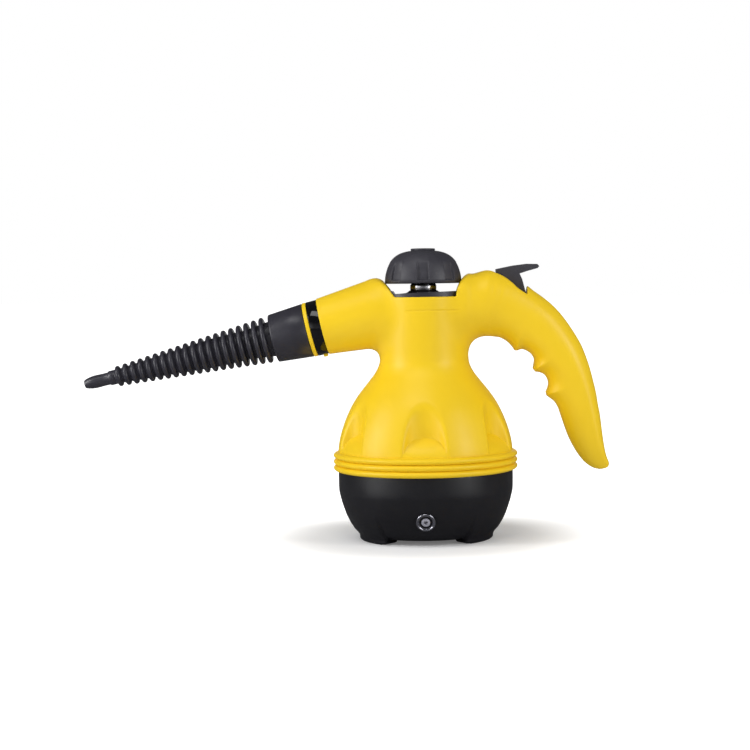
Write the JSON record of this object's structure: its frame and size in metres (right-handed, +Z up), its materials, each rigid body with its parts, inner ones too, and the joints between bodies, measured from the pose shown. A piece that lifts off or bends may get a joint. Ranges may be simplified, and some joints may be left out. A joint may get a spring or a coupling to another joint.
{
  "type": "handheld steam cleaner",
  "caption": "Handheld steam cleaner: round tank with a looped pistol handle, safety filler cap, thumb trigger and a long ribbed nozzle cone.",
  "frame": {"origin": "on the floor below the axis of the round tank", "axes": "+Z up along the tank's axis, +X towards the handle, nozzle to -X, front side faces -Y"},
  "size_m": [0.3963, 0.1392, 0.2192],
  "materials": {
    "yellow_housing": "moulded ABS, satin",
    "black_base": "moulded ABS, satin",
    "rubber": "moulded silicone rubber",
    "screw_steel": "zinc plated steel",
    "bezel": "silvered plastic ring",
    "lens": "translucent polycarbonate",
    "boiler_metal": "die cast, as cast",
    "insulation": "glass fibre sleeve",
    "brass": "turned brass",
    "copper_pipe": "drawn copper tube",
    "neck_metal": "turned and plated",
    "grey_cap": "moulded nylon, satin",
    "black_nozzle": "moulded polypropylene, satin",
    "gloss_black": "polished plastic"
  },
  "bodies": {
    "housing": {"housing_front": "yellow_housing", "housing_rear": "yellow_housing", "housing_screws": "screw_steel", "base_bowl": "black_base", "base_screws": "screw_steel", "foot_pads": "rubber", "indicator_bezel": "bezel", "indicator_lens": "lens", "cord_gland": "rubber", "terminal_block": "black_nozzle", "boiler_cup": "boiler_metal", "boiler_gasket": "rubber", "boiler_lid": "boiler_metal", "boiler_bolts": "screw_steel", "boiler_bracket": "screw_steel", "insulation_sleeve": "insulation", "heating_element": "boiler_metal", "thermostat": "brass", "thermal_fuse": "brass", "filler_neck": "neck_metal", "deck_collar": "black_nozzle", "trigger_pin": "screw_steel", "valve_body": "brass", "valve_spring": "screw_steel", "inlet_pipe": "copper_pipe", "outlet_pipe": "copper_pipe", "spout_tube": "brass", "spout_band": "gloss_black", "spout_seal": "rubber"},
    "cap_lift": {"cap_seal": "rubber"},
    "cap_screw": {"cap_plug": "grey_cap", "cap_spring": "screw_steel"},
    "cap": {"cap_shell": "grey_cap", "cap_button": "grey_cap"},
    "trigger": {"trigger": "grey_cap", "trigger_spring": "screw_steel"},
    "plunger": {"valve_plunger": "brass"},
    "catch": {"nozzle_catch": "yellow_housing"},
    "ring": {"nozzle_ring": "yellow_housing"},
    "nozzle": {"nozzle_cone": "black_nozzle", "nozzle_tip": "black_nozzle"}
  },
  "joints": [
    {"name": "cap_rise", "type": "slide", "parent": "housing", "child": "cap_lift", "axis": [0, 0, 1], "range_m": [0, 0.00751]},
    {"name": "cap_turn", "type": "hinge", "parent": "cap_lift", "child": "cap_screw", "pos_m": [0, 0, 0.194], "axis": [0, 0, 1], "range_deg": [0, 1080]},
    {"name": "cap_press", "type": "slide", "parent": "cap_screw", "child": "cap", "axis": [0, 0, -1], "range_m": [0, 0.002], "stiffness_N_per_m": 1500, "springref_m": -0.001, "deforming": ["cap_spring"]},
    {"name": "trigger_press", "type": "hinge", "parent": "housing", "child": "trigger", "pos_m": [0.06, 0, 0.186], "axis": [0, 1, 0], "range_deg": [0, 8], "stiffness_Nm_per_rad": 1, "springref_deg": -5.73},
    {"name": "valve_slide", "type": "slide", "parent": "housing", "child": "plunger", "axis": [0, 0, -1], "range_m": [0, 0.0017], "deforming": ["valve_spring"]},
    {"name": "catch_press", "type": "slide", "parent": "housing", "child": "catch", "axis": [-0.2233, 0, 0.9748], "range_m": [0, 0.0015], "stiffness_N_per_m": 400, "springref_m": -0.001},
    {"name": "nozzle_pull", "type": "slide", "parent": "housing", "child": "ring", "axis": [-0.9748, 0, -0.2233], "range_m": [0, 0.03]},
    {"name": "nozzle_turn", "type": "hinge", "parent": "ring", "child": "nozzle", "pos_m": [-0.0753, 0, 0.161], "axis": [-0.9748, 0, -0.2233], "range_deg": [0, 45]}
  ],
  "couplings": [
    {"joint": "cap_rise", "follows": "cap_turn", "m_per_rad": 0.00039789},
    {"joint": "valve_slide", "follows": "trigger_press", "m_per_rad": 0.0119}
  ]
}
